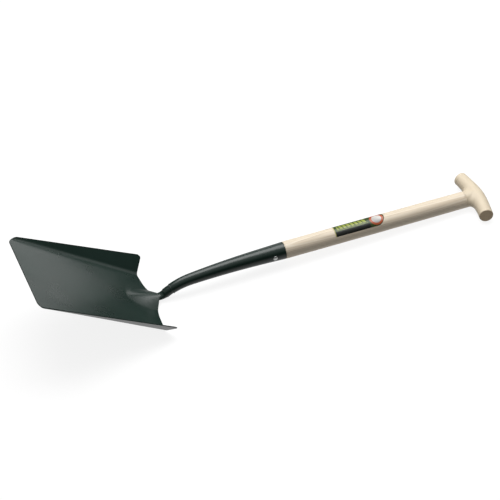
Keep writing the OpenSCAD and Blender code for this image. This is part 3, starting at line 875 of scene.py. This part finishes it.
def label(material):
    """Thin film round the upper side of the shaft, with one round end."""
    rows, cols = 40, 60
    underside = 0.03
    arc_r = SHAFT_D / 2
    half_w = arc_r * LABEL_ARC / 2
    round_r = (arc_r + LABEL_T) * sin(LABEL_ARC / 2)

    def edge_u(v):
        """Length of the label at height v across it, from -half_w to half_w round the shaft."""
        flat_v = min(round_r, abs((arc_r + LABEL_T) * sin(v / arc_r)))
        return LABEL_LEN - round_r + sqrt(round_r ** 2 - flat_v ** 2)

    grid, uvs = [], []
    for height in (LABEL_T, underside):
        for j in range(rows + 1):
            v = half_w * sin(pi / 2 * (2 * j / rows - 1))
            for i in range(cols + 1):
                u = edge_u(v) * i / cols
                a = pi + v / arc_r
                r = arc_r + height
                grid.append(Vector((r * cos(a), r * sin(a), u)) * MM)
                uvs.append((u / LABEL_LEN, 0.5 - v / (2 * half_w)))
    n = cols + 1
    low = n * (rows + 1)
    faces = []
    for j in range(rows):
        for i in range(cols):
            a = j * n + i
            faces.append((a, a + 1, a + n + 1, a + n))
            faces.append((low + a, low + a + n, low + a + n + 1, low + a + 1))
    rim = ([i for i in range(cols)] + [j * n + cols for j in range(rows)]
           + [rows * n + i for i in range(cols, 0, -1)] + [j * n for j in range(rows, 0, -1)])
    for a, b in zip(rim, rim[1:] + rim[:1]):
        faces.append((a, low + a, low + b, b))
    obj = add_mesh("printed_label", grid, faces, material, on_line(-LABEL_START))
    obj.data.uv_layers.new(name="print")
    outward(obj)
    print_layer = obj.data.uv_layers["print"]
    for loop in obj.data.loops:
        print_layer.data[loop.index].uv = uvs[loop.vertex_index]
    return settle(obj, "label")


# ---- Stage ----
CAMERA_AZIMUTH, CAMERA_ELEVATION, CAMERA_ROLL = radians(-15.694), radians(40.214), radians(-6.626)
CAMERA_TARGET = Vector((-0.02410, 0.01128, 0.05150))
CAMERA_DISTANCE, CAMERA_LENS = 5.471, 179.93


def add_camera():
    a, e = CAMERA_AZIMUTH, CAMERA_ELEVATION
    back = Vector((sin(a) * cos(e), -cos(a) * cos(e), sin(e)))
    right = Vector((cos(a), sin(a), 0))
    up = back.cross(right)
    right, up = (right * cos(CAMERA_ROLL) + up * sin(CAMERA_ROLL),
                 up * cos(CAMERA_ROLL) - right * sin(CAMERA_ROLL))
    data = bpy.data.cameras.new("camera")
    data.lens = CAMERA_LENS
    data.sensor_width = 36.0
    data.clip_end = 100.0
    camera = bpy.data.objects.new("camera", data)
    turn = Matrix((right, up, back)).transposed().to_4x4()
    camera.matrix_world = Matrix.Translation(CAMERA_TARGET + back * CAMERA_DISTANCE) @ turn
    bpy.context.scene.collection.objects.link(camera)
    bpy.context.scene.camera = camera


def add_panel(name, place, aim, size, power, colour=(1, 1, 1)):
    """Area light at place, facing aim; the camera doesn't see it."""
    data = bpy.data.lights.new(name, "AREA")
    data.shape = "RECTANGLE"
    data.size, data.size_y = size
    data.energy = power
    data.color = colour
    panel = bpy.data.objects.new(name, data)
    panel.location = place
    panel.rotation_euler = (Vector(aim) - Vector(place)).to_track_quat("-Z", "Y").to_euler()
    panel.visible_camera = False
    bpy.context.scene.collection.objects.link(panel)
    return panel


def add_floor():
    """Plain floor, a little below the tool; it neither lights the tool nor shows in its gloss."""
    half, clearance = 12.0, 0.0005
    floor = add_mesh("floor", [(-half, -half, 0), (half, -half, 0), (half, half, 0), (-half, half, 0)],
                     [(0, 1, 2, 3)], pale_floor())
    floor.location.z = -clearance
    floor.visible_glossy = False
    floor.visible_diffuse = False


def add_world():
    """Studio light by height: bright from below and above, dim round the horizon."""
    world = bpy.data.worlds.new("studio")
    world.use_nodes = True
    tree = world.node_tree
    where = tree.nodes.new("ShaderNodeTexCoord")
    split = tree.nodes.new("ShaderNodeSeparateXYZ")
    lift = tree.nodes.new("ShaderNodeMapRange")
    lift.inputs["From Min"].default_value = -1.0
    band = tree.nodes.new("ShaderNodeValToRGB")
    # Each pair is a height, from 0 straight down to 1 straight up, and the grey there
    grades = ((0.0, 0.80), (0.25, 0.60), (0.42, 0.06), (0.50, 0.015), (0.65, 0.015), (0.80, 0.22), (1.0, 0.6))
    while len(band.color_ramp.elements) < len(grades):
        band.color_ramp.elements.new(0.5)
    for element, (place, grey) in zip(band.color_ramp.elements, grades):
        element.position = place
        element.color = (grey, grey, grey, 1)
    tree.links.new(where.outputs["Generated"], split.inputs[0])
    tree.links.new(split.outputs[2], lift.inputs["Value"])
    tree.links.new(lift.outputs["Result"], band.inputs["Fac"])
    tree.links.new(band.outputs["Color"], tree.nodes["Background"].inputs["Color"])
    bpy.context.scene.world = world


def add_stage():
    add_floor()
    add_world()
    bpy.context.scene.view_settings.view_transform = "Standard"
    add_panel("overhead", (0.3, 0.65, 1.95), (0.0, 0.0, 0.0), (2.6, 1.5), 55)
    # Lights the floor of the pan near the mouth by reflection
    add_panel("back_panel", (0.10, 0.8, 0.27), (-0.3, 0.0, 0.2), (0.44, 0.24), 0.52)
    # Lights the frog's near flank by reflection
    add_panel("side_panel", (0.94, 0.44, 0.78), (-0.28, 0.0, 0.03), (1.2, 0.85), 1.8)


# ---- Scene ----
add_camera()
green = powder_coat()
blade(green)
neck(green)
blade_weld(green)
socket(green)
socket_weld(green)
rivet(rivet_steel())
shaft(ash("ash_along_shaft", 2, (46.0, 30.0), ASH_LIGHT, ASH_DARK))
crutch(ash("ash_along_grip", 1, (38.0, -25.0), GRIP_LIGHT, GRIP_DARK, GRIP_ARCH_ANGLE, GRIP_ARCH_R))
label(label_print())
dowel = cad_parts["crutch_dowel"]
dowel.data.materials.clear()
dowel.data.materials.append(ash("dowel_wood", 2, (20.0, 12.0), DOWEL_LIGHT, DOWEL_DARK))
add_stage()
